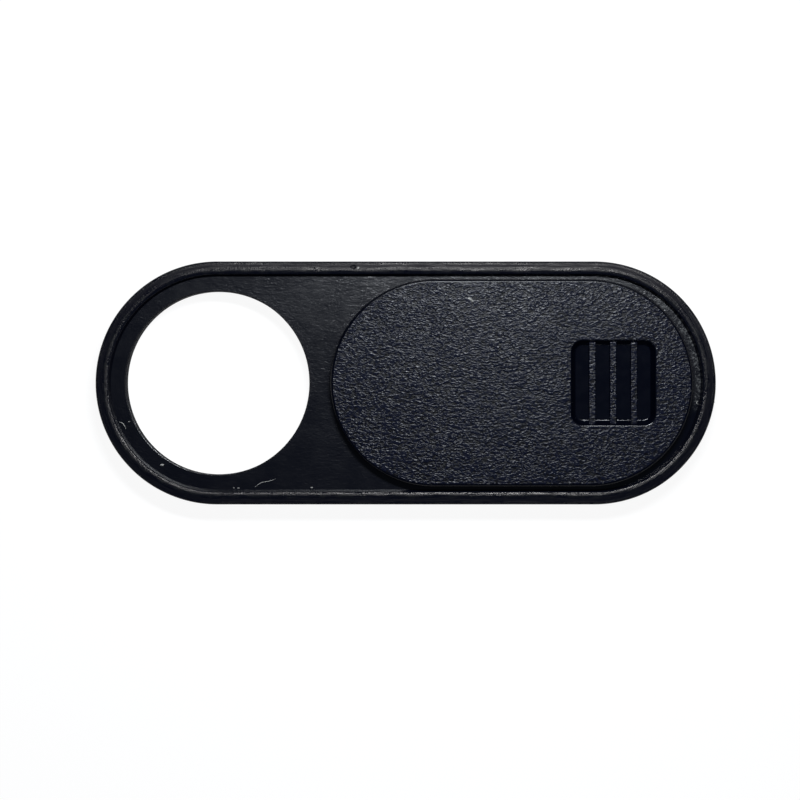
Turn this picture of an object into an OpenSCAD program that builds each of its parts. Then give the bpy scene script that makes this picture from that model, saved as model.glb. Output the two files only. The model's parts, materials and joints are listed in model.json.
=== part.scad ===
// Sliding webcam cover: a pill-shaped frame with a round camera window, and a
// shutter plate that slides along the deck of the frame to cover the window.
// The shutter is held by two hooked legs that run in a guide slot. The frame is
// stuck on with a die-cut adhesive pad, which comes with its release liner.
// Millimetres. +X points from the camera window to the parked shutter, +Z out of
// the face. The origin is the centre of the underside.

/* [Frame] */
// Overall length of the frame
frame_length = 32; // [30:0.5:42]
// Overall width of the frame, whose ends are half circles
frame_width = 12.54; // [12:0.02:15]
// Thickness of the deck that the shutter runs on
deck_thickness = 1; // [0.85:0.05:1.6]
// Width of the rim at its foot
rim_width = 0.76; // [0.7:0.01:0.85]
// Height of the rim's outer shelf above the deck
rim_height = 0.32; // [0.3:0.02:0.6]
// Radius on the outer edge of the shelf
rim_edge_radius = 0.12; // [0.06:0.01:0.15]
// How high the rim's crown stands above the shelf
rim_crown_height = 0.05; // [0.03:0.01:0.06]
// Radius of the crown, which runs in a low arch along the rim
rim_crown_radius = 0.6; // [0.5:0.05:0.65]
// Distance from the rim's inner shoulder to the top of the crown
rim_crown_inset = 0.23; // [0.18:0.01:0.25]
// Radius on the rim's inner shoulder, between the crown and the inner wall
rim_shoulder_radius = 0.06; // [0.04:0.01:0.08]
// How far the rim's inner wall leans out from the deck to the shoulder
rim_lean = 0.06; // [0.01:0.01:0.07]
// Chamfer round the back edge of the frame
back_chamfer = 0.15; // [0.05:0.05:0.3]

/* [Camera window] */
// Diameter of the camera window
window_diameter = 9.5; // [7:0.1:10]
// Chamfer round the window's front edge
window_chamfer = 0.05; // [0.03:0.01:0.2]
// Deck left in view between the window and the parked shutter
window_margin = 1.1; // [0.4:0.01:1.6]

/* [Shutter] */
// Thickness of the shutter plate
shutter_thickness = 0.7; // [0.6:0.05:1.2]
// Gap between the shutter and the rim on each long side
side_gap = 0.18; // [0.12:0.01:0.5]
// Gap between the shutter and the rim at each end of its travel
end_gap = 0.46; // [0.3:0.01:0.9]
// Running gap between the shutter and the deck
running_gap = 0.05; // [0.03:0.01:0.1]
// Radius on the top edge of the shutter
shutter_edge_radius = 0.16; // [0.06:0.02:0.3]
// Chamfer round the bottom edge of the shutter
shutter_foot_chamfer = 0.1; // [0.04:0.02:0.2]

/* [Finger grip] */
// Length of the grip recess along the travel, at the shutter's face
grip_length = 4.34; // [3.6:0.02:5]
// Width of the grip recess across the travel, at the shutter's face
grip_width = 4.38; // [3:0.02:6]
// Corner radius of the grip recess, at the shutter's face
grip_corner_radius = 0.6; // [0.4:0.05:0.9]
// How far the walls of the grip recess lean in from the face to the floor
grip_lean = 0.24; // [0.05:0.01:0.3]
// Depth of the grip recess
grip_depth = 0.4; // [0.2:0.02:0.45]
// Distance from the grip recess to the end of the shutter
grip_end_margin = 1.94; // [1.4:0.01:3]
// Number of ribs in the grip recess
grip_ribs = 3; // [2:1:4]
// Width of each rib
grip_rib_width = 0.34; // [0.2:0.02:0.5]
// Distance from rib to rib
grip_rib_pitch = 1.07; // [0.8:0.01:1.2]
// How far the tops of the ribs lie below the shutter's face
grip_rib_drop = 0.14; // [0:0.02:0.2]

/* [Guide slot and legs] */
// Width of the guide slot
slot_width = 3; // [2.6:0.1:3.1]
// Corner radius of the guide slot
slot_corner_radius = 0.35; // [0.1:0.05:0.6]
// Deck that the parked shutter hides beyond the guide slot
slot_hidden_margin = 0.9; // [0.6:0.05:1.5]
// Thickness of the web that the hooks run under
web_thickness = 0.5; // [0.4:0.02:0.6]
// Gap between each leg and the side of the slot
leg_side_gap = 0.06; // [0.04:0.01:0.15]
// Gap between the legs and the end of the slot at each end of the travel
leg_end_gap = 0.05; // [0.03:0.01:0.15]
// Length of each leg along the travel
leg_length = 3.2; // [2:0.1:3.6]
// Thickness of each leg
leg_thickness = 0.6; // [0.4:0.05:0.9]
// How far each hook reaches beyond its leg
hook_reach = 0.4; // [0.25:0.05:0.5]
// Thickness of each hook
hook_thickness = 0.28; // [0.2:0.02:0.3]
// Lead-in chamfer on each hook
hook_chamfer = 0.14; // [0.06:0.02:0.2]
// Gap between the hooks and the web above them
hook_gap = 0.06; // [0.04:0.01:0.1]
// Room round the hooks in the back recess
recess_room = 0.25; // [0.15:0.05:0.5]

/* [Adhesive] */
// Thickness of the adhesive pad
adhesive_thickness = 0.25; // [0.15:0.05:0.8]
// Thickness of the release liner
liner_thickness = 0.1; // [0.06:0.01:0.2]
// Inset of the pad from the edge of the frame
pad_inset = 0.4; // [0.2:0.05:0.7]
// Room round the camera window in the pad
pad_window_room = 0.2; // [0.1:0.05:0.4]
// Room round the back recess in the pad
pad_recess_room = 0.2; // [0.1:0.05:0.4]

/* [Hidden] */
$fn = 96;
// How far a cut runs past the face that it opens
overrun = 0.2;
black_abs = "#2b2d33";

// Heights, from the underside upwards
frame_back_z = liner_thickness + adhesive_thickness;
deck_z = frame_back_z + deck_thickness;
shelf_z = deck_z + rim_height;
web_back_z = deck_z - web_thickness;
shutter_back_z = deck_z + running_gap;
shutter_top_z = shutter_back_z + shutter_thickness;
hook_top_z = web_back_z - hook_gap;
hook_back_z = hook_top_z - hook_thickness;

// The frame's plan: the window shares the centre of the frame's round end
end_radius = frame_width / 2;
bay_radius = end_radius - rim_width;
bay_end_x = frame_length / 2 - rim_width;
crown_top_z = shelf_z + rim_crown_height;
crown_centre_x = bay_radius + rim_lean + rim_crown_inset;
crown_centre_z = crown_top_z - rim_crown_radius;
// Where the crown's arch comes down to the shelf
crown_foot_x = crown_centre_x + sqrt(pow(rim_crown_radius, 2) - pow(shelf_z - crown_centre_z, 2));
// The shoulder's round runs smoothly into the crown's arch
shoulder_centre_x = bay_radius + rim_lean + rim_shoulder_radius;
shoulder_reach = rim_crown_radius - rim_shoulder_radius;
shoulder_turn = asin((crown_centre_x - shoulder_centre_x) / shoulder_reach);
shoulder_centre_z = crown_centre_z + shoulder_reach * cos(shoulder_turn);
end_centre_x = frame_length / 2 - end_radius;
window_x = -end_centre_x;
window_radius = window_diameter / 2;

// The shutter's plan, parked clear of the window
shutter_left_x = window_x + window_radius + window_margin;
shutter_right_x = bay_end_x - end_gap;
shutter_length = shutter_right_x - shutter_left_x;
shutter_width = 2 * (bay_radius - side_gap);
shutter_x = (shutter_left_x + shutter_right_x) / 2;
// Travel from parked to covering the window
travel = shutter_left_x + bay_end_x - end_gap;
grip_x = shutter_right_x - grip_end_margin - grip_length / 2;

// The guide slot is as long as the travel and the legs together
slot_left_x = shutter_left_x + slot_hidden_margin;
leg_left_x = slot_left_x + leg_end_gap + travel;
leg_right_x = leg_left_x + leg_length;
slot_right_x = leg_right_x + leg_end_gap;
slot_length = slot_right_x - slot_left_x;
slot_x = (slot_left_x + slot_right_x) / 2;
leg_side_y = slot_width / 2 - leg_side_gap;
// The legs start halfway up the skin that is left under the grip recess
leg_root_z = shutter_back_z + (shutter_thickness - grip_depth) / 2;
recess_length = slot_length + 2 * recess_room;
recess_width = slot_width + 2 * (hook_reach + recess_room);
recess_corner_radius = slot_corner_radius + recess_room;

// Outline with straight sides and two half circles, centred on the origin
module pill(length, width) {
    for (side = [-1, 1])
        translate([side * (length - width) / 2, 0])
            circle(d = width);
    square([length - width, width], center = true);
}

// Rectangle with round corners, centred on the origin
module round_rectangle(length, width, radius) {
    square([length - 2 * radius, width], center = true);
    square([length, width - 2 * radius], center = true);
    for (side_x = [-1, 1], side_y = [-1, 1])
        translate([side_x * (length / 2 - radius), side_y * (width / 2 - radius)])
            circle(r = radius, $fn = 48);
}

// Carries an edge profile round a pill. The profile lies in X and Y, with X as the
// distance from the pill's spine and Y as the height.
module sweep_round_pill(length, width) {
    spine = length - width;
    for (side = [0, 1])
        mirror([side, 0, 0])
            translate([spine / 2, 0, 0])
                rotate([0, 0, -90])
                    rotate_extrude(angle = 180)
                        children();
    for (side = [0, 1])
        mirror([0, side, 0])
            translate([-spine / 2, 0, 0])
                rotate([90, 0, 90])
                    linear_extrude(spine)
                        children();
}

// Corner of a rectangle, to cut away and leave a round edge of that radius. The
// rectangle's corner is at the origin and its body lies on the minus side of both.
module edge_round_cut(radius) {
    difference() {
        translate([-radius, -radius])
            square([radius + overrun, radius + overrun]);
        translate([-radius, -radius])
            circle(r = radius, $fn = 48);
    }
}

// Cut that chamfers a bottom edge. The edge is at the origin and its body lies on the
// minus side of X and the plus side of Y.
module edge_chamfer_cut(size) {
    polygon([
        [-size, 0],
        [overrun, size + overrun],
        [overrun, -overrun],
        [-size, -overrun]
    ]);
}

// Section of the crown: a low arch, cut off at the shoulder and at the shelf
module crown_section() {
    turn_x = -sin(shoulder_turn);
    turn_z = cos(shoulder_turn);
    beyond = rim_crown_radius + overrun;
    intersection() {
        translate([crown_centre_x, crown_centre_z])
            circle(r = rim_crown_radius, $fn = 240);
        polygon([
            [shoulder_centre_x, shoulder_centre_z],
            [crown_centre_x + beyond * turn_x, crown_centre_z + beyond * turn_z],
            [crown_foot_x, crown_top_z + overrun],
            [crown_foot_x, shelf_z],
            [crown_centre_x, shoulder_centre_z]
        ]);
    }
}

// Half section of the frame: the deck, and the rim with its shelf, crown and shoulder
module frame_section() {
    difference() {
        union() {
            translate([0, frame_back_z])
                square([end_radius, deck_thickness]);
            polygon([
                [bay_radius, deck_z],
                [bay_radius, frame_back_z],
                [end_radius, frame_back_z],
                [end_radius, shelf_z],
                [crown_foot_x, shelf_z],
                [crown_centre_x, shoulder_centre_z],
                [shoulder_centre_x, shoulder_centre_z],
                [shoulder_centre_x - rim_shoulder_radius, shoulder_centre_z]
            ]);
            crown_section();
            translate([shoulder_centre_x, shoulder_centre_z])
                circle(r = rim_shoulder_radius, $fn = 48);
        }
        translate([end_radius, shelf_z])
            edge_round_cut(rim_edge_radius);
        translate([end_radius, frame_back_z])
            edge_chamfer_cut(back_chamfer);
    }
}

module camera_window() {
    translate([window_x, 0, frame_back_z - overrun])
        cylinder(r = window_radius, h = deck_thickness + 2 * overrun);
    translate([window_x, 0, deck_z - window_chamfer])
        cylinder(
            r1 = window_radius,
            r2 = window_radius + window_chamfer + overrun,
            h = window_chamfer + overrun
        );
}

// The slot for the legs, and the deeper recess behind it for their hooks
module guide_slot() {
    translate([slot_x, 0, frame_back_z - overrun])
        linear_extrude(deck_thickness + 2 * overrun)
            round_rectangle(slot_length, slot_width, slot_corner_radius);
    translate([slot_x, 0, frame_back_z - overrun])
        linear_extrude(web_back_z - frame_back_z + overrun)
            round_rectangle(recess_length, recess_width, recess_corner_radius);
}

module frame() {
    color(black_abs)
        difference() {
            sweep_round_pill(frame_length, frame_width)
                frame_section();
            camera_window();
            guide_slot();
        }
}

// Half section of the shutter plate
module shutter_section() {
    edge = shutter_width / 2;
    difference() {
        translate([0, shutter_back_z])
            square([edge, shutter_thickness]);
        translate([edge, shutter_top_z])
            edge_round_cut(shutter_edge_radius);
        translate([edge, shutter_back_z])
            edge_chamfer_cut(shutter_foot_chamfer);
    }
}

// Block with round corners whose walls lean out on the way up by lean in each depth
module leaning_block(length, width, radius, depth, lean) {
    height = depth + overrun;
    spread = lean * height / depth;
    module wall_section(span) {
        polygon([
            [-span / 2 + lean, 0],
            [span / 2 - lean, 0],
            [span / 2 - lean + spread, height],
            [-span / 2 + lean - spread, height]
        ]);
    }
    for (side_x = [-1, 1], side_y = [-1, 1])
        translate([side_x * (length / 2 - radius), side_y * (width / 2 - radius), 0])
            cylinder(r1 = radius - lean, r2 = radius - lean + spread, h = height, $fn = 48);
    translate([0, width / 2 - radius, 0])
        rotate([90, 0, 0])
            linear_extrude(width - 2 * radius)
                wall_section(length);
    translate([radius - length / 2, 0, 0])
        rotate([90, 0, 90])
            linear_extrude(length - 2 * radius)
                wall_section(width);
}

// The grip recess, less the ribs that stand in it to just below the shutter's face
module grip_recess() {
    translate([grip_x, 0, shutter_top_z - grip_depth])
        difference() {
            leaning_block(grip_length, grip_width, grip_corner_radius, grip_depth, grip_lean);
            for (rib = [0 : grip_ribs - 1])
                translate([
                    (rib - (grip_ribs - 1) / 2) * grip_rib_pitch - grip_rib_width / 2,
                    -grip_width / 2 - overrun,
                    -overrun
                ])
                    cube([
                        grip_rib_width,
                        grip_width + 2 * overrun,
                        grip_depth - grip_rib_drop + overrun
                    ]);
        }
}

// Section of one hooked leg, with Y out to the side and the hook at its foot
module leg_section() {
    polygon([
        [leg_side_y - leg_thickness, leg_root_z],
        [leg_side_y, leg_root_z],
        [leg_side_y, hook_top_z],
        [leg_side_y + hook_reach, hook_top_z],
        [leg_side_y + hook_reach, hook_back_z + hook_chamfer],
        [leg_side_y + hook_reach - hook_chamfer, hook_back_z],
        [leg_side_y - leg_thickness, hook_back_z]
    ]);
}

module shutter() {
    color(black_abs)
        difference() {
            union() {
                translate([shutter_x, 0, 0])
                    sweep_round_pill(shutter_length, shutter_width)
                        shutter_section();
                for (side = [0, 1])
                    mirror([0, side, 0])
                        translate([leg_left_x, 0, 0])
                            rotate([90, 0, 90])
                                linear_extrude(leg_length)
                                    leg_section();
            }
            grip_recess();
        }
}

// Outline of the pad and its liner, which are cut together by one die
module pad_outline() {
    difference() {
        pill(frame_length - 2 * pad_inset, frame_width - 2 * pad_inset);
        translate([window_x, 0])
            circle(r = window_radius + pad_window_room);
        translate([slot_x, 0])
            round_rectangle(
                recess_length + 2 * pad_recess_room,
                recess_width + 2 * pad_recess_room,
                recess_corner_radius + pad_recess_room
            );
    }
}

module adhesive_pad() {
    color("#d8d6cc")
        translate([0, 0, liner_thickness])
            linear_extrude(adhesive_thickness)
                pad_outline();
}

module release_liner() {
    color("#e9e2c8")
        linear_extrude(liner_thickness)
            pad_outline();
}

frame();
shutter();
adhesive_pad();
release_liner();
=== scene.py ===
"""Looks of a sliding webcam cover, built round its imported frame.

The mouldings are modelled in millimetres in the frame's own axes and brought to metres when
they are finished. +X runs from the camera window to the parked shutter, +Y is the long side
that is uppermost in the picture, and +Z comes out of the face.
"""

import json
import math
import random
from contextlib import contextmanager

import bmesh
import bpy
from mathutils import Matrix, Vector


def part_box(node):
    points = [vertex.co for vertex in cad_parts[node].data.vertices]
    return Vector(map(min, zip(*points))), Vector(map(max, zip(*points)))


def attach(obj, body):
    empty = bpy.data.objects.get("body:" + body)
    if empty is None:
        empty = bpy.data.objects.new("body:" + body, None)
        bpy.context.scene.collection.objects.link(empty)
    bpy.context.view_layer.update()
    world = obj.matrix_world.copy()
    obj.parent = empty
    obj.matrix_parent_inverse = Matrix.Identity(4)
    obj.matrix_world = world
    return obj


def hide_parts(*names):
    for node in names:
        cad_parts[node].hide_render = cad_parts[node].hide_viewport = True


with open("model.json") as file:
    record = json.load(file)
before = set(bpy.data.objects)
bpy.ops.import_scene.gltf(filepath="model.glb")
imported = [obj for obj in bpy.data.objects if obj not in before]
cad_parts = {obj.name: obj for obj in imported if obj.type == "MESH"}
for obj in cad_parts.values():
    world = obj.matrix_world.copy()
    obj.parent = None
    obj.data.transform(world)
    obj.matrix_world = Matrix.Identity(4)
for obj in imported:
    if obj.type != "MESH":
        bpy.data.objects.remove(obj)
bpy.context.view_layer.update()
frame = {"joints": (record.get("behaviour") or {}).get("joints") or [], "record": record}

MM = 0.001


def box_mm(node_name):
    """The lowest and highest corners of a CAD node, in millimetres."""
    low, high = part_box(node_name)
    return low / MM, high / MM


# Places that the frame gives
frame_low, frame_high = box_mm("frame")
shutter_low, shutter_high = box_mm("shutter")
pad_low, pad_high = box_mm("adhesive_pad")
liner_low, liner_high = box_mm("release_liner")
window_mount = next(m for m in frame["record"]["mounts"] if m["name"] == "camera_window")
WINDOW_X = window_mount["pos_m"][0] / MM
WINDOW_RADIUS = window_mount["dims"]["r_mm"]
TRAVEL = frame["joints"][0]["range_m"][1] / MM

# The frame's own sizes
FRAME_LENGTH = frame_high.x - frame_low.x
FRAME_WIDTH = frame_high.y - frame_low.y
FRAME_BACK = frame_low.z
HALF_SPINE = (FRAME_LENGTH - FRAME_WIDTH) / 2
RIM_WIDTH = 0.76
RIM_HEIGHT = 0.32
RIM_LEAN = 0.06
RIM_EDGE_RADIUS = 0.12
CROWN_HEIGHT = 0.05
CROWN_INSET = 0.23
CROWN_FOOT = 0.23
RISER_WIDTH = 0.04
# The crown's arch from outside to inside: degrees at each stop, and radii between them
CROWN_TURNS = (8.5, -5, -19, -90)
CROWN_RADII = (0.2, 0.55, 0.085)
BACK_CHAMFER = 0.15
WINDOW_EDGE_RADIUS = 0.05
SHELF_TOP = frame_high.z - CROWN_HEIGHT
DECK_TOP = SHELF_TOP - RIM_HEIGHT
WEB_THICKNESS = 0.5
BAY_RADIUS = FRAME_WIDTH / 2 - RIM_WIDTH
CROWN_MIDDLE = BAY_RADIUS + RIM_LEAN + CROWN_INSET

# The shutter's own sizes
SHUTTER_THICKNESS = 0.7
SHUTTER_EDGE_RADIUS = 0.16
SHUTTER_FOOT_CHAMFER = 0.1
# How far below the top the grained face gives way to the round edge
SHUTTER_FACE_DROP = SHUTTER_EDGE_RADIUS / 60
SHUTTER_TOP = shutter_high.z
SHUTTER_BACK = SHUTTER_TOP - SHUTTER_THICKNESS
SHUTTER_LENGTH = shutter_high.x - shutter_low.x
SHUTTER_WIDTH = shutter_high.y - shutter_low.y
SHUTTER_X = (shutter_low.x + shutter_high.x) / 2

# The finger grip
GRIP_LENGTH = 4.34
GRIP_WIDTH = 4.38
GRIP_CORNER_RADIUS = 0.6
GRIP_LEAN = 0.24
GRIP_DEPTH = 0.4
GRIP_END_MARGIN = 1.94
GRIP_RIBS = 3
GRIP_RIB_WIDTH = 0.34
GRIP_RIB_PITCH = 1.07
GRIP_RIB_DROP = 0.14
GRIP_EDGE_RADIUS = 0.04
GRIP_FLOOR_RADIUS = 0.05
GRIP_X = shutter_high.x - GRIP_END_MARGIN - GRIP_LENGTH / 2
GRIP_FLOOR = SHUTTER_TOP - GRIP_DEPTH
RIB_TOP = SHUTTER_TOP - GRIP_RIB_DROP
RIB_PLACES = [GRIP_X + (rib - (GRIP_RIBS - 1) / 2) * GRIP_RIB_PITCH for rib in range(GRIP_RIBS)]

# The guide slot, and the hooked legs that run in it
SLOT_WIDTH = 3.0
SLOT_CORNER_RADIUS = 0.35
SLOT_HIDDEN_MARGIN = 0.9
LEG_SIDE_GAP = 0.06
LEG_END_GAP = 0.05
LEG_LENGTH = 3.2
LEG_THICKNESS = 0.6
HOOK_REACH = 0.4
HOOK_THICKNESS = 0.28
HOOK_CHAMFER = 0.14
RECESS_ROOM = 0.25
SLOT_LEFT = shutter_low.x + SLOT_HIDDEN_MARGIN
LEG_LEFT = SLOT_LEFT + LEG_END_GAP + TRAVEL
LEG_RIGHT = LEG_LEFT + LEG_LENGTH
SLOT_RIGHT = LEG_RIGHT + LEG_END_GAP
SLOT_X = (SLOT_LEFT + SLOT_RIGHT) / 2
SLOT_LENGTH = SLOT_RIGHT - SLOT_LEFT
RECESS_LENGTH = SLOT_LENGTH + 2 * RECESS_ROOM
RECESS_WIDTH = SLOT_WIDTH + 2 * (HOOK_REACH + RECESS_ROOM)
RECESS_CORNER_RADIUS = SLOT_CORNER_RADIUS + RECESS_ROOM
HOOK_BACK = shutter_low.z
HOOK_TOP = HOOK_BACK + HOOK_THICKNESS
LEG_ROOT = SHUTTER_BACK + (SHUTTER_THICKNESS - GRIP_DEPTH) / 2

# The die-cut pad and its liner
PAD_WINDOW_ROOM = 0.2
PAD_RECESS_ROOM = 0.2
PAD_EDGE_RADIUS = 0.05
LINER_EDGE_RADIUS = 0.02

# How finely the round stretches are divided
ARC_POINTS = 256
CORNER_SEGMENTS = 12
RIM_SEGMENTS = 8
WINDOW_EDGE_SEGMENTS = 6
SHUTTER_EDGE_SEGMENTS = 12
GRIP_SEGMENTS = 3
SHEET_EDGE_SEGMENTS = 4
SMOOTH_ANGLE = 35

# What cuts, supports and tests of place allow, in millimetres
OVERRUN = 0.2
SUPPORT_WIDTH = 0.02
TOUCHING = 0.0005

# How much of a face's normal lies along an axis: all, most or hardly any
WHOLLY = 0.99
MOSTLY = 0.9
HARDLY = 0.1


def activate(piece):
    """Makes a piece the only selected object and the active one."""
    bpy.ops.object.select_all(action="DESELECT")
    piece.select_set(True)
    bpy.context.view_layer.objects.active = piece


@contextmanager
def editing(piece, select_mode="FACE"):
    """Edit mode on one piece, with nothing selected at the start."""
    activate(piece)
    bpy.ops.object.mode_set(mode="EDIT")
    bpy.ops.mesh.select_mode(type=select_mode)
    bpy.ops.mesh.select_all(action="DESELECT")
    yield
    bpy.ops.object.mode_set(mode="OBJECT")


def pick(piece, parts, wanted):
    """In edit mode, selects the faces, edges or verts that pass the test."""
    mesh = bmesh.from_edit_mesh(piece.data)
    for part in getattr(mesh, parts):
        if wanted(part):
            part.select_set(True)
    bmesh.update_edit_mesh(piece.data)


def pick_level(piece, height, facing):
    """In edit mode, selects the flat faces at one height that face up (1) or down (-1)."""
    def is_there(face):
        level = abs(face.calc_center_median().z - height) < TOUCHING
        return level and face.normal.z * facing > WHOLLY
    pick(piece, "faces", is_there)


def step_in(steps):
    """Carries the selected face inwards and out along its normal, step by step."""
    for inward, out in steps:
        bpy.ops.mesh.inset(thickness=inward, depth=out)


def rounding(radius, segments, start=0, stop=90):
    """Steps over a round edge, from the outer wall at 0 degrees to the top at 90."""
    turn = stop - start
    angles = [math.radians(start + turn * i / segments) for i in range(segments + 1)]
    return [
        (radius * (math.cos(a) - math.cos(b)), radius * (math.sin(b) - math.sin(a)))
        for a, b in zip(angles, angles[1:])
    ]


def flare(radius, segments):
    """Steps that turn from a face down into a hole with a round edge."""
    return [(out, inward) for inward, out in reversed(rounding(radius, segments))]


def add_cylinder(name, radius, bottom, top, centre_x, turn=0.0):
    """An upright cylinder, as a new object with its place in its mesh."""
    bpy.ops.object.select_all(action="DESELECT")
    bpy.ops.mesh.primitive_cylinder_add(
        vertices=ARC_POINTS,
        radius=radius,
        depth=top - bottom,
        location=(centre_x, 0, (bottom + top) / 2),
        rotation=(0, 0, turn),
    )
    piece = bpy.context.active_object
    piece.name = name
    bpy.ops.object.transform_apply(location=True, rotation=True, scale=True)
    return piece


def add_pill(name, length, width, bottom, top, centre_x=0.0):
    """A block with half round ends: a cylinder whose two halves are moved apart."""
    half_step = math.pi / ARC_POINTS
    piece = add_cylinder(name, width / 2, bottom, top, centre_x, half_step)
    for side in (-1, 1):
        with editing(piece, "VERT"):
            pick(piece, "verts", lambda vert: (vert.co.x - centre_x) * side > 0)
            bpy.ops.transform.translate(value=(side * (length - width) / 2, 0, 0))
    return piece


def add_block(name, low, high, corner_radius=0.0):
    """A box between two corners, with its upright edges rounded."""
    low, high = Vector(low), Vector(high)
    bpy.ops.object.select_all(action="DESELECT")
    bpy.ops.mesh.primitive_cube_add(size=1, location=(low + high) / 2, scale=high - low)
    piece = bpy.context.active_object
    piece.name = name
    bpy.ops.object.transform_apply(location=True, rotation=True, scale=True)
    if corner_radius:
        with editing(piece, "EDGE"):
            pick(piece, "edges", lambda e: abs(e.verts[0].co.z - e.verts[1].co.z) > TOUCHING)
            bpy.ops.mesh.bevel(offset=corner_radius, segments=CORNER_SEGMENTS, affect="EDGES")
    return piece


def combine(piece, tool, operation="DIFFERENCE"):
    """Cuts a tool out of a piece, or joins it on, and drops the tool."""
    activate(piece)
    modifier = piece.modifiers.new("combine", "BOOLEAN")
    modifier.operation = operation
    modifier.solver = "EXACT"
    modifier.object = tool
    bpy.ops.object.modifier_apply(modifier=modifier.name)
    bpy.data.objects.remove(tool)


def paint(piece, material, wanted=None):
    """Gives a piece a material, or only the faces that pass the test."""
    piece.data.materials.append(material)
    number = len(piece.data.materials) - 1
    for face in piece.data.polygons:
        if wanted is None or wanted(face):
            face.material_index = number


def finish_piece(piece, body):
    """Brings a piece to metres, smooths its round stretches and puts it on its body."""
    activate(piece)
    piece.scale = (MM, MM, MM)
    bpy.ops.object.transform_apply(location=True, rotation=True, scale=True)
    bpy.ops.object.shade_smooth_by_angle(angle=math.radians(SMOOTH_ANGLE))
    modifier = piece.modifiers.new("normals", "WEIGHTED_NORMAL")
    modifier.keep_sharp = True
    bpy.ops.object.modifier_apply(modifier=modifier.name)
    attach(piece, body)


def spine_distance(place, centre_x=0.0, half_spine=HALF_SPINE):
    """How far a place lies from the line between the centres of the round ends."""
    return math.hypot(max(abs(place.x - centre_x) - half_spine, 0), place.y)


def window_cutter():
    """A plug for the camera window, whose head rounds the window's front edge."""
    head_radius = WINDOW_RADIUS + WINDOW_EDGE_RADIUS
    plug = add_cylinder("plug", head_radius, DECK_TOP, DECK_TOP + OVERRUN, WINDOW_X)
    with editing(plug):
        pick_level(plug, DECK_TOP, -1)
        step_in(flare(WINDOW_EDGE_RADIUS, WINDOW_EDGE_SEGMENTS))
        depth = DECK_TOP - WINDOW_EDGE_RADIUS - FRAME_BACK + OVERRUN
        bpy.ops.mesh.extrude_region_move(TRANSFORM_OT_translate={"value": (0, 0, -depth)})
    return plug


def slot_cutter():
    """The guide slot as a solid, right through the deck."""
    return add_block(
        "slot",
        (SLOT_LEFT, -SLOT_WIDTH / 2, FRAME_BACK - OVERRUN),
        (SLOT_RIGHT, SLOT_WIDTH / 2, DECK_TOP + OVERRUN),
        SLOT_CORNER_RADIUS,
    )


def recess_cutter(low_z, high_z, room=0.0):
    """The back recess for the hooks as a solid, with room to spare for the pad."""
    half_length = RECESS_LENGTH / 2 + room
    half_width = RECESS_WIDTH / 2 + room
    return add_block(
        "recess",
        (SLOT_X - half_length, -half_width, low_z),
        (SLOT_X + half_length, half_width, high_z),
        RECESS_CORNER_RADIUS + room,
    )


def build_frame_moulding(deck, rim, sides, window_wall):
    """The pill-shaped tray: its rim has a narrow shelf outside and a low arched crown."""
    moulding = add_pill(
        "frame_moulding",
        FRAME_LENGTH,
        FRAME_WIDTH,
        FRAME_BACK + BACK_CHAMFER,
        SHELF_TOP - RIM_EDGE_RADIUS,
    )
    arch = []
    for radius, start, stop in zip(CROWN_RADII, CROWN_TURNS, CROWN_TURNS[1:]):
        arch += rounding(radius, RIM_SEGMENTS, 90 - start, 90 - stop)
    slope = math.radians(CROWN_TURNS[0])
    slope_run = CROWN_FOOT - CROWN_RADII[0] * math.sin(slope)
    slope_rise = slope_run * math.tan(slope)
    riser_rise = CROWN_HEIGHT - slope_rise - CROWN_RADII[0] * (1 - math.cos(slope))
    shelf_run = FRAME_WIDTH / 2 - RIM_EDGE_RADIUS - CROWN_MIDDLE - CROWN_FOOT - RISER_WIDTH
    wall_run = CROWN_MIDDLE + CROWN_FOOT - slope_run - sum(step[0] for step in arch) - BAY_RADIUS
    wall_drop = RIM_HEIGHT + riser_rise + slope_rise + sum(step[1] for step in arch)
    with editing(moulding):
        pick_level(moulding, SHELF_TOP - RIM_EDGE_RADIUS, 1)
        step_in(rounding(RIM_EDGE_RADIUS, RIM_SEGMENTS))
        step_in([(shelf_run, 0), (RISER_WIDTH, riser_rise), (slope_run, slope_rise)])
        step_in(arch)
        step_in([(wall_run, -wall_drop), (SUPPORT_WIDTH, 0)])
    with editing(moulding):
        pick_level(moulding, FRAME_BACK + BACK_CHAMFER, -1)
        step_in([(BACK_CHAMFER, BACK_CHAMFER), (SUPPORT_WIDTH, 0)])
    combine(moulding, window_cutter())
    combine(moulding, slot_cutter())
    combine(moulding, recess_cutter(FRAME_BACK - OVERRUN, DECK_TOP - WEB_THICKNESS))
    paint(moulding, sides)
    paint(moulding, window_wall, lambda f: abs(f.normal.z) < HARDLY
          and math.hypot(f.center.x - WINDOW_X, f.center.y) < WINDOW_RADIUS + TOUCHING)
    paint(moulding, deck, lambda f: DECK_TOP - WINDOW_EDGE_RADIUS < f.center.z
          and spine_distance(f.center) < BAY_RADIUS)
    paint(moulding, rim, lambda f: f.center.z > DECK_TOP + TOUCHING
          and spine_distance(f.center) > BAY_RADIUS)
    finish_piece(moulding, "frame")
    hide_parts("frame")


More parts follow.
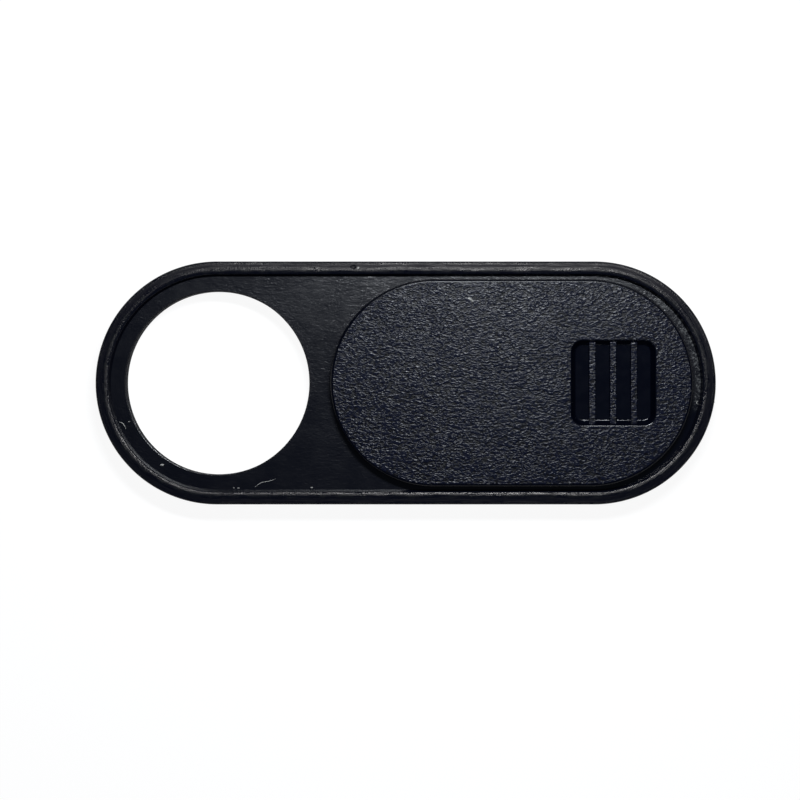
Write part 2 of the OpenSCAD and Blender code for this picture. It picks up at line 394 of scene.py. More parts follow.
def add_leg(side):
    """One hooked leg: a post with a hook pulled out of its foot, to one side."""
    outer = SLOT_WIDTH / 2 - LEG_SIDE_GAP
    across = sorted((side * (outer - LEG_THICKNESS), side * outer))
    leg = add_block(
        "leg", (LEG_LEFT, across[0], HOOK_BACK), (LEG_RIGHT, across[1], LEG_ROOT)
    )
    with editing(leg):
        bpy.ops.mesh.select_all(action="SELECT")
        bpy.ops.mesh.bisect(plane_co=(0, 0, HOOK_TOP), plane_no=(0, 0, 1))
    with editing(leg):
        pick(leg, "faces", lambda f: f.normal.y * side > MOSTLY
             and f.calc_center_median().z < HOOK_TOP)
        bpy.ops.mesh.extrude_region_move(
            TRANSFORM_OT_translate={"value": (0, side * HOOK_REACH, 0)}
        )
    tip = outer + HOOK_REACH
    with editing(leg, "EDGE"):
        pick(leg, "edges", lambda e: all(
            abs(v.co.y * side - tip) < TOUCHING and abs(v.co.z - HOOK_BACK) < TOUCHING
            for v in e.verts
        ))
        bpy.ops.mesh.bevel(offset=HOOK_CHAMFER, segments=1, affect="EDGES")
    return leg


def grip_cutter():
    """The finger recess as a solid, with its ribs left out of it."""
    cutter = add_block(
        "grip",
        (GRIP_X - GRIP_LENGTH / 2, -GRIP_WIDTH / 2, SHUTTER_TOP),
        (GRIP_X + GRIP_LENGTH / 2, GRIP_WIDTH / 2, SHUTTER_TOP + OVERRUN),
        GRIP_CORNER_RADIUS,
    )
    with editing(cutter):
        pick_level(cutter, SHUTTER_TOP, -1)
        step_in([(GRIP_LEAN, GRIP_DEPTH)])
    with editing(cutter, "EDGE"):
        pick(cutter, "edges", lambda e: all(
            abs(v.co.z - GRIP_FLOOR) < TOUCHING for v in e.verts
        ))
        bpy.ops.mesh.bevel(offset=GRIP_FLOOR_RADIUS, segments=GRIP_SEGMENTS, affect="EDGES")
    for rib_x in RIB_PLACES:
        bar = add_block(
            "bar",
            (rib_x - GRIP_RIB_WIDTH / 2, -GRIP_WIDTH, GRIP_FLOOR - OVERRUN),
            (rib_x + GRIP_RIB_WIDTH / 2, GRIP_WIDTH, RIB_TOP),
        )
        combine(cutter, bar)
    return cutter


def build_shutter_moulding(face, edge, polished, sides):
    """The sliding plate, with a ribbed finger recess and two hooked legs."""
    plate = add_pill(
        "shutter_moulding",
        SHUTTER_LENGTH,
        SHUTTER_WIDTH,
        SHUTTER_BACK + SHUTTER_FOOT_CHAMFER,
        SHUTTER_TOP - SHUTTER_EDGE_RADIUS,
        SHUTTER_X,
    )
    with editing(plate):
        pick_level(plate, SHUTTER_TOP - SHUTTER_EDGE_RADIUS, 1)
        step_in(rounding(SHUTTER_EDGE_RADIUS, SHUTTER_EDGE_SEGMENTS))
        step_in([(SUPPORT_WIDTH, 0)])
    with editing(plate):
        pick_level(plate, SHUTTER_BACK + SHUTTER_FOOT_CHAMFER, -1)
        step_in([(SHUTTER_FOOT_CHAMFER, SHUTTER_FOOT_CHAMFER), (SUPPORT_WIDTH, 0)])
    for side in (-1, 1):
        combine(plate, add_leg(side), "UNION")
    combine(plate, grip_cutter())
    with editing(plate, "EDGE"):
        pick(plate, "edges", is_pocket_edge)
        bpy.ops.mesh.bevel(offset=GRIP_EDGE_RADIUS, segments=GRIP_SEGMENTS, affect="EDGES")
    paint(plate, sides)
    paint(plate, edge, lambda f: f.center.z > SHUTTER_TOP - SHUTTER_EDGE_RADIUS)
    paint(plate, face, lambda f: f.center.z > SHUTTER_TOP - SHUTTER_FACE_DROP)
    paint(plate, polished, lambda f: in_grip(f.center)
          and GRIP_FLOOR - TOUCHING < f.center.z < SHUTTER_TOP - TOUCHING)
    paint(plate, face, lambda f: f.center.z > RIB_TOP - GRIP_EDGE_RADIUS
          and is_on_rib(f.center))
    finish_piece(plate, "shutter")
    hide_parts("shutter")


def in_grip(place):
    """Whether a place lies inside the outline of the finger recess."""
    along = abs(place.x - GRIP_X) < GRIP_LENGTH / 2 + GRIP_EDGE_RADIUS
    return along and abs(place.y) < GRIP_WIDTH / 2 + GRIP_EDGE_RADIUS


def is_on_rib(place):
    """Whether a place lies over one of the ribs of the grip, short of the end walls."""
    from_rib = min(abs(place.x - rib_x) for rib_x in RIB_PLACES)
    return from_rib < GRIP_RIB_WIDTH / 2 and abs(place.y) < GRIP_WIDTH / 2 - GRIP_LEAN / 2


def is_pocket_edge(edge):
    """Whether an edge is the grip's outline in the face, or the top edge of a rib."""
    heights = [vert.co.z for vert in edge.verts]
    in_face = all(abs(height - SHUTTER_TOP) < TOUCHING for height in heights)
    on_rib = all(abs(height - RIB_TOP) < TOUCHING for height in heights)
    inside = all(in_grip(vert.co) for vert in edge.verts)
    steep = any(face.normal.z < MOSTLY for face in edge.link_faces)
    return inside and steep and edge.is_convex and (in_face or on_rib)


def build_sheet(name, low, high, edge_radius, material, node_name):
    """A die-cut sheet on the back, with holes for the window and for the recess."""
    sheet = add_pill(
        name, high.x - low.x, high.y - low.y, low.z + edge_radius, high.z - edge_radius
    )
    for height, facing in ((high.z - edge_radius, 1), (low.z + edge_radius, -1)):
        with editing(sheet):
            pick_level(sheet, height, facing)
            step_in(rounding(edge_radius, SHEET_EDGE_SEGMENTS))
            step_in([(SUPPORT_WIDTH, 0)])
    hole = WINDOW_RADIUS + PAD_WINDOW_ROOM
    combine(sheet, add_cylinder("hole", hole, low.z - OVERRUN, high.z + OVERRUN, WINDOW_X))
    combine(sheet, recess_cutter(low.z - OVERRUN, high.z + OVERRUN, PAD_RECESS_ROOM))
    paint(sheet, material)
    finish_piece(sheet, "frame")
    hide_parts(node_name)


def feed(tree, value, socket):
    """Sets a socket to a number or colour, or links another socket to it."""
    if isinstance(value, bpy.types.NodeSocket):
        tree.links.new(value, socket)
    else:
        socket.default_value = value


def add_node(tree, kind, settings=None, **values):
    """Adds a node, with its settings and the values of its named inputs."""
    node = tree.nodes.new(kind)
    for name, value in (settings or {}).items():
        setattr(node, name, value)
    for name, value in values.items():
        feed(tree, value, node.inputs[name])
    return node


def noise(tree, place, per_mm, detail, **more):
    """A Noise texture with so many swells to the millimetre. Gives its height."""
    return add_node(
        tree, "ShaderNodeTexNoise", Vector=place, Scale=per_mm, Detail=detail, **more
    ).outputs["Fac"]


def maths(tree, operation, *values):
    """A Math node on numbers or sockets. Gives its result."""
    node = tree.nodes.new("ShaderNodeMath")
    node.operation = operation
    for value, socket in zip(values, node.inputs):
        feed(tree, value, socket)
    return node.outputs[0]


def remap(tree, value, low, high, to_low=0.0, to_high=1.0):
    """Brings a value from one range to another, smoothly and with no overshoot."""
    node = tree.nodes.new("ShaderNodeMapRange")
    node.interpolation_type = "SMOOTHSTEP"
    for number, given in enumerate((value, low, high, to_low, to_high)):
        feed(tree, given, node.inputs[number])
    return node.outputs["Result"]


def stretched(tree, place, scale):
    """A place with each of its axes scaled."""
    node = add_node(tree, "ShaderNodeMapping", {"vector_type": "POINT"}, Vector=place)
    node.inputs["Scale"].default_value = scale
    return node.outputs["Vector"]


def new_group(name, inputs, outputs):
    """A node group with named inputs and outputs. Gives it, its start and its end."""
    group = bpy.data.node_groups.new(name, "ShaderNodeTree")
    for label, kind in inputs:
        group.interface.new_socket(label, in_out="INPUT", socket_type=kind)
    for label, kind in outputs:
        group.interface.new_socket(label, in_out="OUTPUT", socket_type=kind)
    start = group.nodes.new("NodeGroupInput")
    end = group.nodes.new("NodeGroupOutput")
    return group, start.outputs, end.inputs


FLOAT = "NodeSocketFloat"
VECTOR = "NodeSocketVector"

# Where the height of a noise mostly lies, and its middle
NOISE_SPAN = (0.35, 0.65)
WIDE_NOISE_SPAN = (0.3, 0.7)
NOISE_MIDDLE = 0.5

# Spark-eroded grain: its stretch, the heights where a pit starts and is full, and the
# patches where it is shallower or deeper
GRAIN_STRETCH = (0.58, 1.0, 1.0)
PIT_SPAN = (0.54, 0.40)
PATCHES_PER_MM = 0.45
PATCH_DEPTHS = (0.7, 1.2)

# Patterns that follow the outline: how many to the millimetre along it and across it
OUTLINE_PATTERNS = (("Streaks", 0.9, 9.0), ("Ripples", 14.0, 2.5))

# Dust: where a grain ends and is full, in shares of the spacing, and how much stays bare
DUST_GRAIN_SPAN = (0.10, 0.04)
DUST_BARE_SHARE = 0.72

# Rubbed edges: the noise heights between which the line breaks
WEAR_BREAKS = (0.42, 0.62)

# Small marks: their turn in degrees, how ragged they are, and where they end and are full
MARK_TURN = -35
MARK_RAGGEDNESS = 0.16
MARK_SPAN = (0.18, 0.12)


def make_outline_group():
    """How far a place, in millimetres, lies from the spine of the outline, and along it."""
    group, given, result = new_group(
        "outline distance", [("Place", VECTOR)], [("Distance", FLOAT), ("Along", FLOAT)]
    )
    axes = add_node(group, "ShaderNodeSeparateXYZ", Vector=given["Place"]).outputs
    beyond = maths(group, "SUBTRACT", maths(group, "ABSOLUTE", axes["X"]), HALF_SPINE)
    beyond = maths(group, "MAXIMUM", beyond, 0.0)
    squares = maths(group, "MULTIPLY", axes["Y"], axes["Y"])
    total = maths(group, "MULTIPLY_ADD", beyond, beyond, squares)
    group.links.new(maths(group, "SQRT", total), result["Distance"])
    turn = maths(group, "ARCTAN2", beyond, maths(group, "ABSOLUTE", axes["Y"]))
    straight = maths(group, "MINIMUM", maths(group, "ABSOLUTE", axes["X"]), HALF_SPINE)
    along = maths(group, "MULTIPLY_ADD", turn, FRAME_WIDTH / 2, straight)
    along = maths(group, "MULTIPLY", along, maths(group, "SIGN", axes["X"]))
    side = maths(group, "MULTIPLY", maths(group, "SIGN", axes["Y"]), FRAME_LENGTH)
    group.links.new(maths(group, "ADD", along, side), result["Along"])
    return group


def make_grain_group():
    """Spark-eroded grain, drawn out along the travel, in deeper and shallower patches."""
    group, given, result = new_group(
        "spark grain", [("Place", VECTOR), ("Size", FLOAT)], [("Height", FLOAT), ("Pits", FLOAT)]
    )
    scale = maths(group, "DIVIDE", 1.0, given["Size"])
    place = stretched(group, given["Place"], GRAIN_STRETCH)
    swell = noise(group, place, scale, 1.0, Roughness=0.5, Distortion=0.8)
    patches = noise(group, given["Place"], PATCHES_PER_MM, 2.0)
    depth = remap(group, patches, *NOISE_SPAN, *PATCH_DEPTHS)
    height = maths(group, "MULTIPLY", maths(group, "SUBTRACT", swell, NOISE_MIDDLE), depth)
    group.links.new(height, result["Height"])
    group.links.new(remap(group, swell, *PIT_SPAN), result["Pits"])
    return group


def make_streak_group():
    """Drawn streaks that follow the outline, and fine ripples across it."""
    group, given, result = new_group(
        "outline streaks",
        [("Along", FLOAT), ("Distance", FLOAT)],
        [("Streaks", FLOAT), ("Ripples", FLOAT)],
    )
    for name, along, across in OUTLINE_PATTERNS:
        place = add_node(
            group,
            "ShaderNodeCombineXYZ",
            X=maths(group, "MULTIPLY", given["Along"], along),
            Y=maths(group, "MULTIPLY", given["Distance"], across),
        ).outputs[0]
        height = noise(group, place, 1.0, 3.0, Roughness=0.6)
        group.links.new(height, result[name])
    return group


def make_dust_group():
    """Settled dust: a few pale grains here and there."""
    group, given, result = new_group(
        "settled dust", [("Place", VECTOR), ("Spacing", FLOAT)], [("Mask", FLOAT)]
    )
    scale = maths(group, "DIVIDE", 1.0, given["Spacing"])
    cells = add_node(group, "ShaderNodeTexVoronoi", Vector=given["Place"], Scale=scale).outputs
    grain = remap(group, cells["Distance"], *DUST_GRAIN_SPAN)
    chosen = add_node(group, "ShaderNodeSeparateColor", Color=cells["Color"]).outputs["Red"]
    kept = maths(group, "GREATER_THAN", chosen, DUST_BARE_SHARE)
    group.links.new(maths(group, "MULTIPLY", grain, kept), result["Mask"])
    return group


def make_wear_group():
    """Rubbed edges: a broken line along one distance from the spine."""
    group, given, result = new_group(
        "edge wear",
        [("Place", VECTOR), ("Distance", FLOAT), ("Edge", FLOAT), ("Width", FLOAT)],
        [("Mask", FLOAT)],
    )
    away = maths(group, "ABSOLUTE", maths(group, "SUBTRACT", given["Distance"], given["Edge"]))
    near = maths(group, "SUBTRACT", 1.0, maths(group, "DIVIDE", away, given["Width"]))
    near = maths(group, "MAXIMUM", near, 0.0)
    broken = noise(group, given["Place"], 1.6, 4.0, Roughness=0.7)
    mask = maths(group, "MULTIPLY", near, remap(group, broken, *WEAR_BREAKS))
    group.links.new(mask, result["Mask"])
    return group


def make_mark_group():
    """One small mark with a ragged outline, such as a nick, that runs down to the right."""
    group, given, result = new_group(
        "small mark", [("Place", VECTOR), ("Centre", VECTOR), ("Size", VECTOR)], [("Mask", FLOAT)]
    )
    away = add_node(group, "ShaderNodeVectorMath", {"operation": "SUBTRACT"})
    group.links.new(given["Place"], away.inputs[0])
    group.links.new(given["Centre"], away.inputs[1])
    turned = add_node(
        group, "ShaderNodeMapping", {"vector_type": "TEXTURE"}, Vector=away.outputs[0],
        Rotation=(0, 0, math.radians(MARK_TURN)), Scale=given["Size"],
    )
    reach = add_node(group, "ShaderNodeVectorMath", {"operation": "LENGTH"})
    group.links.new(turned.outputs[0], reach.inputs[0])
    ragged = noise(group, given["Place"], 9.0, 2.0)
    ragged_reach = maths(group, "MULTIPLY_ADD", ragged, MARK_RAGGEDNESS, reach.outputs["Value"])
    group.links.new(remap(group, ragged_reach, *MARK_SPAN), result["Mask"])
    return group


outline_group = make_outline_group()
grain_group = make_grain_group()
streak_group = make_streak_group()
dust_group = make_dust_group()
wear_group = make_wear_group()
mark_group = make_mark_group()

# Grain sizes, and the middles and sizes of the small marks, in millimetres
SHUTTER_GRAIN = 0.115
DECK_GRAIN = 0.035
DECK_COARSE_GRAIN = 0.16
SIDE_GRAIN = 0.1
FLECK = {"Centre": (3.33, 4.30, SHUTTER_TOP), "Size": (2.2, 0.8, 1.0)}
NICK = {"Centre": (-2.68, 5.96, SHELF_TOP), "Size": (1.8, 1.3, 1.0)}
CHIP = {"Centre": (-2.45, 5.92, SHELF_TOP), "Size": (0.8, 0.7, 1.0)}

NAVY_BLACK = (0.0011, 0.0017, 0.0050, 1)
DECK_BLACK = (0.0008, 0.0013, 0.0042, 1)
POCKET_BLACK = (0.0005, 0.0009, 0.0036, 1)
# Painted light on the crests of the shutter's grain, and painted shade in its pits
SHUTTER_LIT_CREST = (0.0040, 0.0055, 0.0150, 1)
SHUTTER_SHADED_PIT = (0.0003, 0.0005, 0.0024, 1)
RIM_BLACK = (0.0026, 0.0032, 0.0072, 1)
WORN_BLACK = (0.010, 0.011, 0.013, 1)
# Scuffs together with painted light on the deck's strip at the right end
SCUFF_AND_LIGHT_GREY = (0.085, 0.088, 0.088, 1)
DUST_GREY = (0.32, 0.32, 0.30, 1)
PAD_COLOURS = ((0.50, 0.50, 0.48, 1), (0.68, 0.67, 0.64, 1))
LINER_COLOURS = ((0.78, 0.70, 0.50, 1), (0.86, 0.80, 0.62, 1))
LINER_FIBRE = (0.70, 0.62, 0.44, 1)
LINT_COLOURS = ((0.22, 0.22, 0.21, 1), (0.55, 0.54, 0.50, 1))


def use_group(tree, group, **values):
    """Places a node group in a material, with its values. Gives its outputs."""
    node = tree.nodes.new("ShaderNodeGroup")
    node.node_tree = group
    for name, value in values.items():
        feed(tree, value, node.inputs[name])
    return node.outputs


def start_material(name, roughness, specular=0.5):
    """A material, its shader, and its place in millimetres, with a plain roughness to start."""
    material = bpy.data.materials.new(name)
    material.use_nodes = True
    tree = material.node_tree
    shader = tree.nodes["Principled BSDF"]
    shader.inputs["Roughness"].default_value = roughness
    shader.inputs["Specular IOR Level"].default_value = specular
    coordinates = tree.nodes.new("ShaderNodeTexCoord").outputs["Object"]
    place = stretched(tree, coordinates, (1 / MM, 1 / MM, 1 / MM))
    return material, tree, shader, place


def mix_colour(tree, mask, first, second):
    """One colour where the mask is 0 and another where it is 1."""
    node = tree.nodes.new("ShaderNodeMix")
    node.data_type = "RGBA"
    feed(tree, mask, node.inputs["Factor"])
    feed(tree, first, node.inputs[6])
    feed(tree, second, node.inputs[7])
    return node.outputs[2]


def raise_bumps(tree, height, depth, under=None):
    """A Bump node of a depth in millimetres, over another one's normal."""
    node = add_node(tree, "ShaderNodeBump", Height=height)
    node.inputs["Distance"].default_value = depth * MM
    if under:
        tree.links.new(under, node.inputs["Normal"])
    return node.outputs["Normal"]


def make_shutter_face():
    """Black plastic with the coarse spark-eroded grain of the shutter's face, with painted light
    on the grain's crests and painted shade in its pits.
    """
    material, tree, shader, place = start_material("shutter face plastic", 0.22, 0.18)
    grain = use_group(tree, grain_group, Place=place, Size=SHUTTER_GRAIN)
    swell = noise(tree, place, 0.9, 3.0)
    normal = raise_bumps(tree, swell, 0.012)
    tree.links.new(raise_bumps(tree, grain["Height"], 0.042, normal), shader.inputs["Normal"])
    rough = remap(tree, swell, *WIDE_NOISE_SPAN, 0.23, 0.27)
    rough = maths(tree, "MULTIPLY_ADD", grain["Pits"], 0.1, rough)
    tree.links.new(rough, shader.inputs["Roughness"])
    # The grain's crests get a lighter colour as painted light, and its pits a darker one as
    # painted shade
    black = mix_colour(tree, grain["Pits"], SHUTTER_LIT_CREST, SHUTTER_SHADED_PIT)
    fleck = use_group(tree, mark_group, Place=place, **FLECK)["Mask"]
    colour = mix_colour(tree, fleck, black, DUST_GREY)
    tree.links.new(colour, shader.inputs["Base Color"])
    return material


def make_deck_plastic():
    """Black plastic with the deck's finer grain, smooth beside the wall at the lower right, and
    with scuffs and painted light on the strip beside the wall at the right end.
    """
    material, tree, shader, place = start_material("deck plastic", 0.14)
    fine = noise(tree, place, 1 / DECK_GRAIN, 1.0)
    coarse = use_group(tree, grain_group, Place=place, Size=DECK_COARSE_GRAIN)["Height"]
    swell = noise(tree, place, 1.1, 3.0)
    distance = use_group(tree, outline_group, Place=place)["Distance"]
    axes = add_node(tree, "ShaderNodeSeparateXYZ", Vector=place).outputs
    smooth = maths(
        tree, "MULTIPLY", remap(tree, axes["X"], 7.5, 10.0), remap(tree, axes["Y"], -0.8, -1.8)
    )
    smooth = maths(tree, "MULTIPLY", smooth, remap(tree, distance, 4.9, 5.1))
    plain = maths(tree, "MULTIPLY_ADD", smooth, -0.9, 1.0)
    normal = raise_bumps(
        tree, maths(tree, "MULTIPLY", coarse, plain), 0.008, raise_bumps(tree, swell, 0.003)
    )
    fine = maths(tree, "MULTIPLY", fine, plain)
    tree.links.new(raise_bumps(tree, fine, 0.0043, normal), shader.inputs["Normal"])
    rough = remap(tree, swell, *NOISE_SPAN, 0.212, 0.242)
    rough = maths(tree, "MULTIPLY", rough, maths(tree, "MULTIPLY_ADD", smooth, -0.5, 1.0))
    tree.links.new(rough, shader.inputs["Roughness"])
    dust = use_group(tree, dust_group, Place=place, Spacing=0.5)["Mask"]
    black = mix_colour(tree, dust, DECK_BLACK, WORN_BLACK)
    # The strip beside the wall at the right end is painted lighter, partly as scuffs and partly
    # as painted light where the lamp falls; it fades out towards the lower part, which lies in
    # shade
    lit_right_end = maths(
        tree, "MULTIPLY", remap(tree, axes["X"], 11.5, 13.5), remap(tree, axes["Y"], -1.6, -0.8)
    )
    lit_wall_strip = maths(tree, "MULTIPLY", remap(tree, distance, 5.2, 5.3), lit_right_end)
    rubbed = noise(tree, place, 7.0, 4.0, Roughness=0.7)
    scuffs_and_light = maths(tree, "MULTIPLY", lit_wall_strip, remap(tree, rubbed, 0.50, 0.62))
    tree.links.new(mix_colour(tree, scuffs_and_light, black, SCUFF_AND_LIGHT_GREY), shader.inputs["Base Color"])
    return material


def make_rim_plastic():
    """Black plastic of the rim, with drawn streaks and rubbed edges."""
    material, tree, shader, place = start_material("rim plastic", 0.34, 0.20)
    shader.inputs["Specular Tint"].default_value = (1.0, 0.94, 0.89, 1)
    outline = use_group(tree, outline_group, Place=place)
    distance = outline["Distance"]
    drawn = use_group(tree, streak_group, Along=outline["Along"], Distance=distance)
    streaks = drawn["Streaks"]
    nick = use_group(tree, mark_group, Place=place, **NICK)["Mask"]
    chip = use_group(tree, mark_group, Place=place, **CHIP)["Mask"]
    normal = raise_bumps(tree, streaks, 0.022)
    normal = raise_bumps(tree, drawn["Ripples"], 0.018, normal)
    unbroken = maths(tree, "SUBTRACT", 1.0, nick)
    tree.links.new(raise_bumps(tree, unbroken, 0.05, normal), shader.inputs["Normal"])
    outer = use_group(
        tree, wear_group, Place=place, Distance=distance,
        Edge=FRAME_WIDTH / 2 - RIM_EDGE_RADIUS / 2, Width=0.12,
    )["Mask"]
    crown = use_group(
        tree, wear_group, Place=place, Distance=distance,
        Edge=CROWN_MIDDLE, Width=0.2,
    )["Mask"]
    worn = maths(tree, "MAXIMUM", outer, crown)
    corner = maths(tree, "SUBTRACT", distance, CROWN_MIDDLE + CROWN_FOOT)
    dull = remap(tree, maths(tree, "ABSOLUTE", corner), 0.10, 0.02, 0.0, 0.22)
    rough = maths(tree, "ADD", remap(tree, streaks, 0.35, 0.65, 0.20, 0.42), dull)
    inner = remap(tree, distance, CROWN_MIDDLE - 0.12, CROWN_MIDDLE - 0.06, 0.5, 1.0)
    rough = maths(tree, "MULTIPLY", rough, inner)
    tree.links.new(rough, shader.inputs["Roughness"])
    black = mix_colour(tree, worn, RIM_BLACK, WORN_BLACK)
    # The nick is coloured darker as painted shade in its pit, on top of its bump
    black = mix_colour(tree, nick, black, POCKET_BLACK)
    tree.links.new(mix_colour(tree, chip, black, DUST_GREY), shader.inputs["Base Color"])
    return material


def make_side_plastic():
    """Black plastic of the sides and the back, satin and plain."""
    material, tree, shader, place = start_material("side plastic", 0.36)
    fine = use_group(tree, grain_group, Place=place, Size=SIDE_GRAIN)["Height"]
    tree.links.new(raise_bumps(tree, fine, 0.010), shader.inputs["Normal"])
    tree.links.new(remap(tree, fine, -0.15, 0.15, 0.32, 0.42), shader.inputs["Roughness"])
    haze = noise(tree, place, 0.7, 4.0)
    colour = mix_colour(tree, remap(tree, haze, 0.4, 0.8), NAVY_BLACK, WORN_BLACK)
    tree.links.new(colour, shader.inputs["Base Color"])
    return material


def make_window_wall_plastic():
    """Matt black plastic of the window's wall, which keeps stray light out of the view."""
    material, tree, shader, place = start_material("window wall plastic", 0.8, 0.08)
    drawn = noise(tree, stretched(tree, place, (9.0, 9.0, 1.2)), 1.0, 3.0)
    tree.links.new(raise_bumps(tree, drawn, 0.010), shader.inputs["Normal"])
    tree.links.new(remap(tree, drawn, 0.35, 0.65, 0.72, 0.88), shader.inputs["Roughness"])
    colour = mix_colour(tree, drawn, POCKET_BLACK, RIM_BLACK)
    tree.links.new(colour, shader.inputs["Base Color"])
    return material


def make_polished_plastic(name, roughness, specular=0.5):
    """Polished black plastic: the shutter's round edge, and the pockets of its grip."""
    material, tree, shader, place = start_material(name, roughness, specular)
    swell = noise(tree, place, 1.5, 2.0)
    tree.links.new(raise_bumps(tree, swell, 0.004), shader.inputs["Normal"])
    rough = remap(tree, swell, 0.35, 0.65, roughness * 0.9, roughness * 1.3)
    tree.links.new(rough, shader.inputs["Roughness"])
    colour = mix_colour(tree, swell, POCKET_BLACK, NAVY_BLACK)
    tree.links.new(colour, shader.inputs["Base Color"])
    return material


def make_pad_foam():
    """Soft acrylic adhesive: off-white, a little uneven, with fine bubbles."""
    material, tree, shader, place = start_material("adhesive pad", 0.45)
    bubbles = add_node(tree, "ShaderNodeTexVoronoi", Vector=place, Scale=9.0).outputs["Distance"]
    tree.links.new(raise_bumps(tree, bubbles, 0.02), shader.inputs["Normal"])
    colour = mix_colour(tree, noise(tree, place, 0.8, 4.0), *PAD_COLOURS)
    tree.links.new(colour, shader.inputs["Base Color"])
    tree.links.new(remap(tree, bubbles, 0.1, 0.6, 0.38, 0.55), shader.inputs["Roughness"])
    return material


def make_liner_paper():
    """Waxed release paper: cream, with faint fibres and a soft sheen."""
    material, tree, shader, place = start_material("liner paper", 0.4)
    drawn_out = stretched(tree, place, (1.0, 4.0, 4.0))
    fibres = noise(tree, drawn_out, 2.2, 6.0, Roughness=0.7, Distortion=1.2)
    tree.links.new(raise_bumps(tree, fibres, 0.008), shader.inputs["Normal"])
    pale = mix_colour(tree, noise(tree, place, 0.35, 3.0), *LINER_COLOURS)
    colour = mix_colour(tree, remap(tree, fibres, 0.45, 0.75), pale, LINER_FIBRE)
    tree.links.new(colour, shader.inputs["Base Color"])
    tree.links.new(remap(tree, fibres, 0.3, 0.7, 0.34, 0.48), shader.inputs["Roughness"])
    return material


def make_lint():
    """Pale lint and dust grains."""
    material, tree, shader, place = start_material("lint", 0.8)
    colour = mix_colour(tree, noise(tree, place, 12.0, 2.0), *LINT_COLOURS)
    tree.links.new(colour, shader.inputs["Base Color"])
    return material


def add_fibre(points, thickness):
    """A thin lint fibre through a few points, thinner at its ends."""
    curve = bpy.data.curves.new("fibre", "CURVE")
    curve.dimensions = "3D"
    curve.bevel_depth = thickness / 2
    curve.bevel_resolution = 2
    curve.resolution_u = 8
    curve.use_fill_caps = True
    spline = curve.splines.new("BEZIER")
    spline.bezier_points.add(len(points) - 1)
    for number, (point, place) in enumerate(zip(spline.bezier_points, points)):
        point.co = (*place, DECK_TOP + thickness / 2)
        point.handle_left_type = "AUTO"
        point.handle_right_type = "AUTO"
        point.radius = 0.45 if number in (0, len(points) - 1) else 1.0
    fibre = bpy.data.objects.new("fibre", curve)
    bpy.context.scene.collection.objects.link(fibre)
    activate(fibre)
    bpy.ops.object.convert(target="MESH")
    return fibre


def add_speck(place, size, seed):
    """A grain of dust or flash: a small ball with its points pushed about."""
    bpy.ops.object.select_all(action="DESELECT")
    bpy.ops.mesh.primitive_ico_sphere_add(subdivisions=3, radius=0.5, location=place, scale=size)
    speck = bpy.context.active_object
    bpy.ops.object.transform_apply(location=True, rotation=True, scale=True)
    dice = random.Random(seed)
    centre = Vector(place)
    for vert in speck.data.vertices:
        vert.co = centre + (vert.co - centre) * dice.uniform(0.75, 1.0)
    return speck


def join_pieces(name, pieces):
    """Makes one object of several."""
    activate(pieces[0])
    for piece in pieces:
        piece.select_set(True)
    bpy.ops.object.join()
    pieces[0].name = name
    return pieces[0]


def build_lint(material):
    """Lint fibres and dust grains that lie on the deck, low enough for the shutter to pass."""
    fibres = [
        add_fibre([(-14.80, -2.02), (-14.68, -2.05), (-14.56, -2.17), (-14.47, -2.36)], 0.045),
        add_fibre([(-7.79, -5.37), (-7.45, -5.15), (-7.1, -5.08), (-6.71, -4.96)], 0.03),
        add_fibre([(15.12, -0.93), (15.03, -1.02), (15.11, -1.12)], 0.04),
    ]
    grains = [
        ((-14.30, -2.00), (0.11, 0.05)),
        ((-12.59, -4.23), (0.22, 0.10)),
        ((-8.88, -5.42), (0.09, 0.05)),
        ((-8.64, -5.43), (0.14, 0.05)),
        ((-4.85, -5.40), (0.13, 0.07)),
    ]
    specks = [
        add_speck((*place, DECK_TOP + 0.02), (*size, 0.04), number)
        for number, (place, size) in enumerate(grains)
    ]
    lint = join_pieces("settled_lint", fibres + specks)
    paint(lint, material)
    finish_piece(lint, "frame")


def build_flash(material):
    """Specks of moulding flash left on the outer edge of the rim, at the right end."""
    edge = SHELF_TOP - RIM_EDGE_RADIUS / 2
    places = [(15.93, 0.28), (15.93, -0.36), (15.89, -0.98)]
    specks = [
        add_speck((*place, edge), (0.09, 0.11, 0.07), 20 + number)
        for number, place in enumerate(places)
    ]
    flash = join_pieces("rim_flash", specks)
    paint(flash, material)
    finish_piece(flash, "frame")


# The photograph's framing, in pixels of its 800 by 800 frame
IMAGE_SIZE = 800
OBJECT_LEFT = 95.6
OBJECT_RIGHT = 715.8
OBJECT_CENTRE_DOWN = 382.95
CAMERA_HEIGHT = 110.0


def add_camera():
    """A camera straight above, placed so that the object fills its place in the picture."""
    pixels_per_mm = (OBJECT_RIGHT - OBJECT_LEFT) / FRAME_LENGTH
    object_across = (OBJECT_LEFT + OBJECT_RIGHT) / 2
    aside = (IMAGE_SIZE / 2 - object_across) / pixels_per_mm
    down = (OBJECT_CENTRE_DOWN - IMAGE_SIZE / 2) / pixels_per_mm
    data = bpy.data.cameras.new("camera")
    data.sensor_width = 36.0
    reach = CAMERA_HEIGHT - (SHELF_TOP - RIM_EDGE_RADIUS)
    data.lens = data.sensor_width * reach * pixels_per_mm / IMAGE_SIZE
    data.clip_start = 1 * MM
    data.clip_end = 100
    camera = bpy.data.objects.new("camera", data)
    camera.location = Vector((aside, down, CAMERA_HEIGHT)) * MM
    bpy.context.scene.collection.objects.link(camera)
    bpy.context.scene.camera = camera


def add_lamp(name, place, width, height, energy, colour=(1, 1, 1)):
    """An oval soft lamp at a place in millimetres, aimed at the object."""
    data = bpy.data.lights.new(name, "AREA")
    data.shape = "ELLIPSE"
    data.size = width * MM
    data.size_y = height * MM
    data.energy = energy
    data.color = colour
    lamp = bpy.data.objects.new(name, data)
    lamp.location = Vector(place) * MM
    lamp.rotation_euler = lamp.location.to_track_quat("Z", "Y").to_euler()
    lamp.visible_camera = False
    bpy.context.scene.collection.objects.link(lamp)


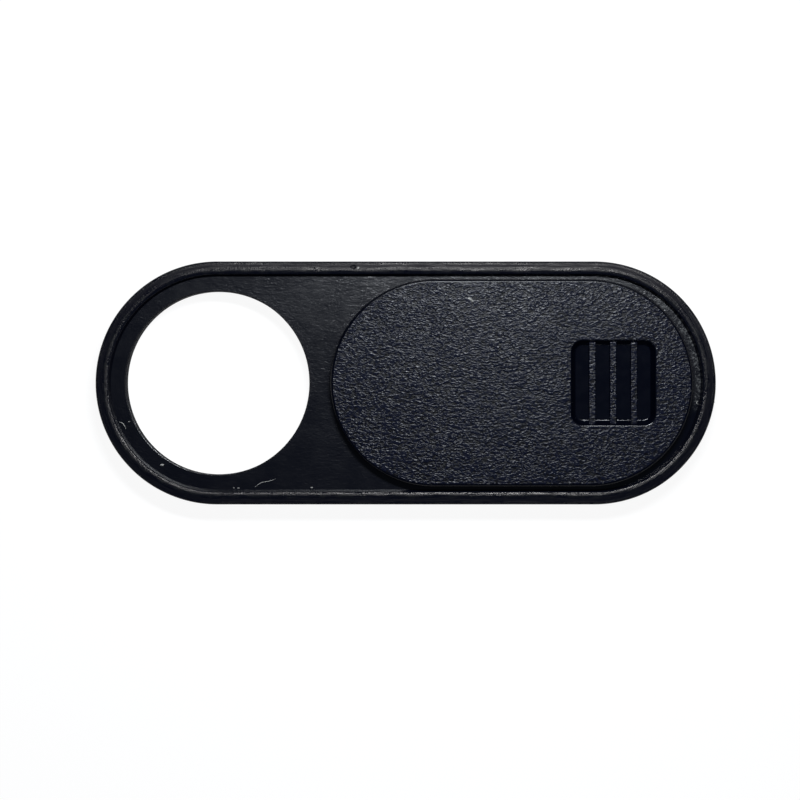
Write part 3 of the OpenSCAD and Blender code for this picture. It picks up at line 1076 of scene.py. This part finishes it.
def add_floor():
    """A plain white floor that shows white and keeps the object's soft shadow."""
    bpy.ops.object.select_all(action="DESELECT")
    bpy.ops.mesh.primitive_plane_add(size=6, location=(0, 0, -0.00002))
    floor = bpy.context.active_object
    floor.name = "floor"
    material = bpy.data.materials.new("floor")
    material.use_nodes = True
    tree = material.node_tree
    tree.nodes.remove(tree.nodes["Principled BSDF"])
    rays = tree.nodes.new("ShaderNodeLightPath").outputs
    seen = maths(tree, "MAXIMUM", rays["Is Camera Ray"], rays["Is Glossy Ray"])
    seen = maths(tree, "MAXIMUM", seen, rays["Is Transmission Ray"])
    share = maths(tree, "MULTIPLY", seen, 0.86)
    matt = add_node(tree, "ShaderNodeBsdfDiffuse", Color=(0.9, 0.9, 0.9, 1)).outputs[0]
    glow = add_node(tree, "ShaderNodeEmission", Strength=1.08).outputs[0]
    mixed = add_node(tree, "ShaderNodeMixShader", Fac=share)
    tree.links.new(matt, mixed.inputs[1])
    tree.links.new(glow, mixed.inputs[2])
    tree.links.new(mixed.outputs[0], tree.nodes["Material Output"].inputs["Surface"])
    floor.data.materials.append(material)


def add_world():
    """A dim room, lighter overhead, that shows white behind the object."""
    world = bpy.data.worlds.new("room")
    bpy.context.scene.world = world
    world.use_nodes = True
    tree = world.node_tree
    background = tree.nodes["Background"]
    direction = tree.nodes.new("ShaderNodeTexCoord").outputs["Generated"]
    height = add_node(tree, "ShaderNodeSeparateXYZ", Vector=direction).outputs["Z"]
    room = mix_colour(
        tree, remap(tree, height, 0.0, 0.8), (0.030, 0.034, 0.042, 1), (0.040, 0.048, 0.066, 1)
    )
    rays = tree.nodes.new("ShaderNodeLightPath").outputs
    shown = mix_colour(tree, rays["Is Camera Ray"], room, (1, 1, 1, 1))
    tree.links.new(shown, background.inputs["Color"])


bpy.context.scene.view_settings.view_transform = "Standard"

deck_plastic = make_deck_plastic()
side_plastic = make_side_plastic()
rim_plastic = make_rim_plastic()
build_frame_moulding(deck_plastic, rim_plastic, side_plastic, make_window_wall_plastic())
build_shutter_moulding(
    make_shutter_face(),
    make_polished_plastic("edge plastic", 0.22, 0.2),
    make_polished_plastic("pocket plastic", 0.10),
    side_plastic,
)
build_sheet(
    "adhesive_sheet", pad_low, pad_high, PAD_EDGE_RADIUS, make_pad_foam(),
    "adhesive_pad",
)
build_sheet(
    "liner_sheet", liner_low, liner_high, LINER_EDGE_RADIUS, make_liner_paper(),
    "release_liner",
)
build_lint(make_lint())
build_flash(rim_plastic)

add_camera()
add_lamp("key", (6, 26, 58), 28, 7, 0.041, (0.91, 0.95, 1.0))
add_floor()
add_world()
